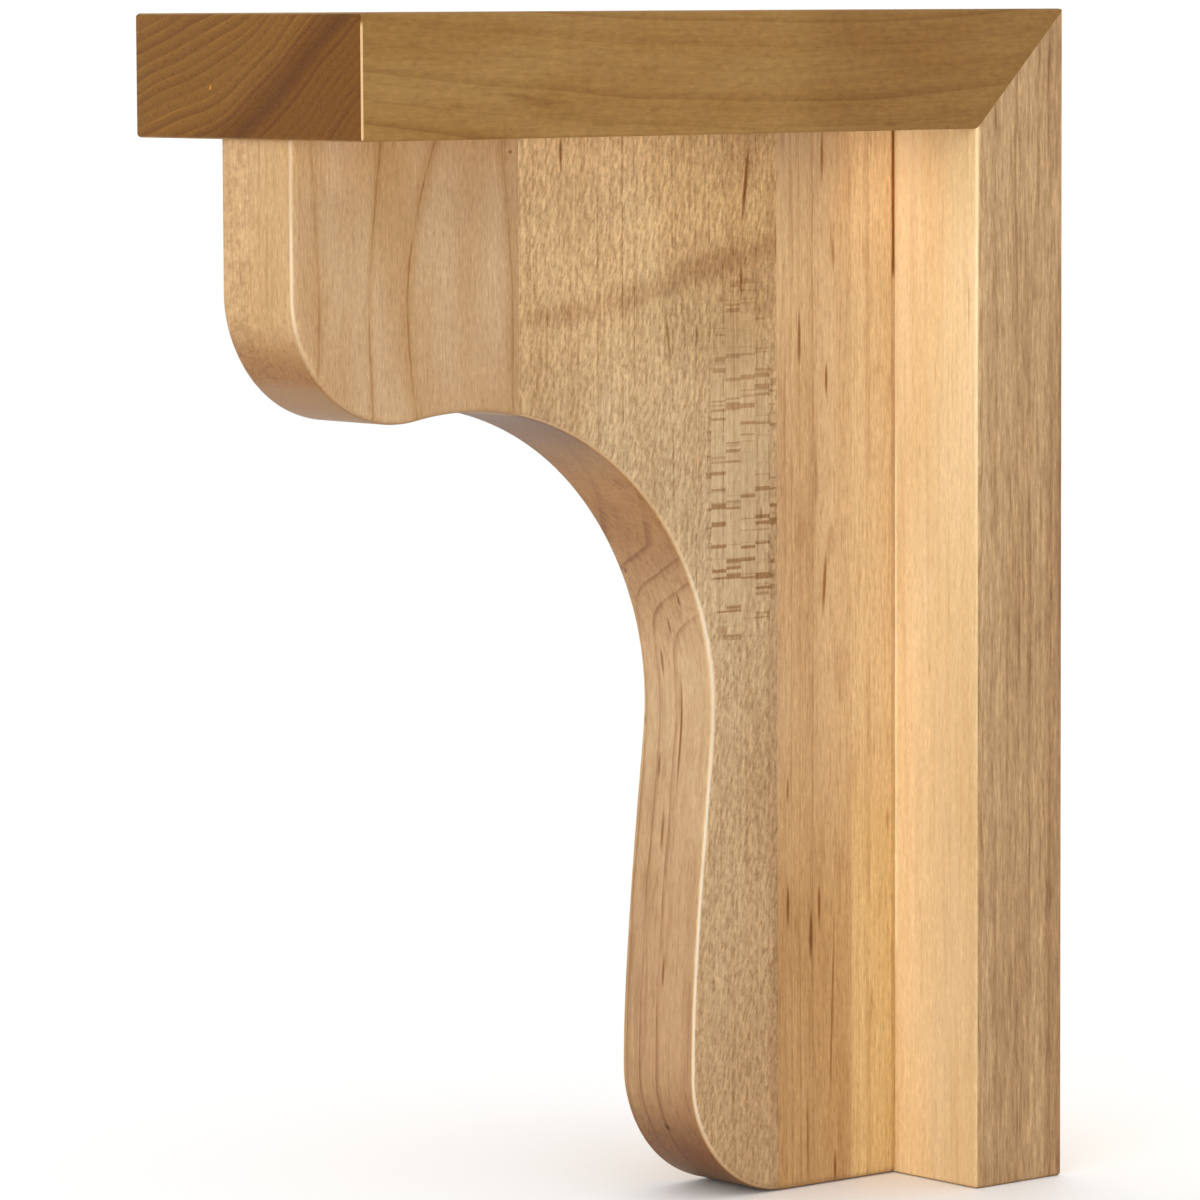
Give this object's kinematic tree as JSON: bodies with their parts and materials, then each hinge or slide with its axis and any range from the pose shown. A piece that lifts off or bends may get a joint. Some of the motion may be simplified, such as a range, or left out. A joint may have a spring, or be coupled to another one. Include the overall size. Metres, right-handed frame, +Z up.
{
  "type": "wooden corbel bracket",
  "caption": "Wooden wall corbel: mitred top and back boards with a centred web sawn to a nose, arch, waist and toe, for carrying a shelf or mantel.",
  "frame": {"origin": "centre of the back board's face that meets the wall", "axes": "+Z up, +Y into the wall, +X along the wall; the bracket projects towards -Y"},
  "size_m": [0.0762, 0.1905, 0.254],
  "materials": {
    "top_board_maple": "sanded bare maple, olive brown",
    "back_board_maple": "sanded bare maple, pinkish tan",
    "web_maple": "sanded bare maple, tan"
  },
  "bodies": {
    "root": {"top_board": "top_board_maple", "back_board": "back_board_maple", "web_front_stave": "web_maple", "web_middle_stave": "web_maple", "web_back_stave": "web_maple"}
  },
  "joints": []
}
